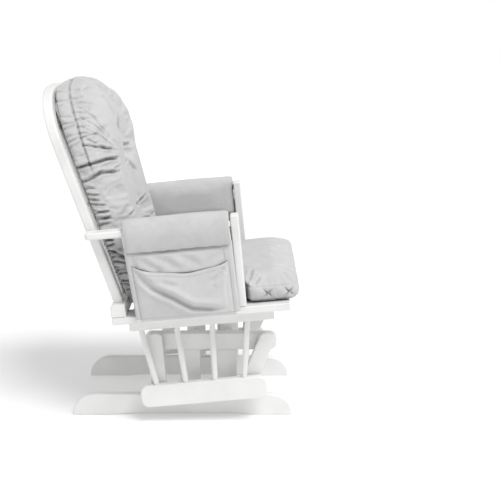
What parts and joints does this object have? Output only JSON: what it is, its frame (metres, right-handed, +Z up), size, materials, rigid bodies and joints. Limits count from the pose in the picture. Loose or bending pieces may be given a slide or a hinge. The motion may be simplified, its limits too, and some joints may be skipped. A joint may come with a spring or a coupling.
{
  "type": "glider nursery chair",
  "caption": "Gliding nursery chair in white painted wood with a hoop back, padded arms with side pockets and thick tied-on cushions.",
  "frame": {"origin": "on the floor, under the middle of the chair's overall width and depth, with the seat at rest", "axes": "+Z up, -Y the way the sitter faces, +X the sitter's left"},
  "size_m": [0.678, 0.7464, 1.0208],
  "materials": {
    "white_painted_wood": "satin white lacquer over solid wood",
    "zinc_steel": "zinc plated turned steel",
    "grey_fabric": "light grey microfibre suede, padded"
  },
  "bodies": {
    "base": {"runner_right": "white_painted_wood", "base_upright_front_right": "white_painted_wood", "base_upright_rear_right": "white_painted_wood", "base_top_rail_right": "white_painted_wood", "runner_left": "white_painted_wood", "base_upright_front_left": "white_painted_wood", "base_upright_rear_left": "white_painted_wood", "base_top_rail_left": "white_painted_wood", "base_cross_board_front": "white_painted_wood", "base_cross_board_rear": "white_painted_wood", "upper_pin_rear_right": "zinc_steel", "upper_pin_front_right": "zinc_steel", "upper_pin_rear_left": "zinc_steel", "upper_pin_front_left": "zinc_steel"},
    "rear_swing_arms": {"swing_arm_rear_right": "white_painted_wood", "swing_arm_rear_left": "white_painted_wood"},
    "front_swing_arms": {"swing_arm_front_right": "white_painted_wood", "swing_arm_front_left": "white_painted_wood"},
    "seat": {"lower_pin_rear_right": "zinc_steel", "lower_pin_front_right": "zinc_steel", "lower_pin_rear_left": "zinc_steel", "lower_pin_front_left": "zinc_steel", "seat_side_rail_right": "white_painted_wood", "spindle_rail_right": "white_painted_wood", "glide_board_right": "white_painted_wood", "spindle_right_1": "white_painted_wood", "spindle_right_2": "white_painted_wood", "spindle_right_3": "white_painted_wood", "spindle_right_4": "white_painted_wood", "seat_side_rail_left": "white_painted_wood", "spindle_rail_left": "white_painted_wood", "glide_board_left": "white_painted_wood", "spindle_left_1": "white_painted_wood", "spindle_left_2": "white_painted_wood", "spindle_left_3": "white_painted_wood", "spindle_left_4": "white_painted_wood", "seat_front_rail": "white_painted_wood", "seat_rear_rail": "white_painted_wood", "seat_deck": "white_painted_wood", "back_hoop": "white_painted_wood", "back_slat_1": "white_painted_wood", "back_slat_2": "white_painted_wood", "back_slat_3": "white_painted_wood", "back_slat_4": "white_painted_wood", "back_slat_5": "white_painted_wood", "arm_board_right": "white_painted_wood", "front_post_right": "white_painted_wood", "arm_strut_front_right": "white_painted_wood", "arm_strut_rear_right": "white_painted_wood", "arm_board_left": "white_painted_wood", "front_post_left": "white_painted_wood", "arm_strut_front_left": "white_painted_wood", "arm_strut_rear_left": "white_painted_wood", "arm_pad_right": "grey_fabric", "side_pocket_right": "grey_fabric", "arm_pad_left": "grey_fabric", "side_pocket_left": "grey_fabric", "seat_cushion": "grey_fabric", "back_cushion": "grey_fabric"}
  },
  "joints": [
    {"name": "rear_arm_swing", "type": "hinge", "parent": "base", "child": "rear_swing_arms", "pos_m": [0, 0.05703, 0.254], "axis": [-1, 0, 0], "range_deg": [-8, 24]},
    {"name": "seat_on_rear_arms", "type": "hinge", "parent": "rear_swing_arms", "child": "seat", "pos_m": [0, 0.04601, 0.09238], "axis": [-1, 0, 0], "range_deg": [-31, 11]},
    {"name": "front_arm_swing", "type": "hinge", "parent": "base", "child": "front_swing_arms", "pos_m": [0, -0.27897, 0.254], "axis": [-1, 0, 0], "range_deg": [-9, 25]}
  ],
  "couplings": [
    {"joint": "seat_on_rear_arms", "follows": "rear_arm_swing", "ratio": -1.2742},
    {"joint": "front_arm_swing", "follows": "rear_arm_swing", "ratio": 1.013}
  ]
}
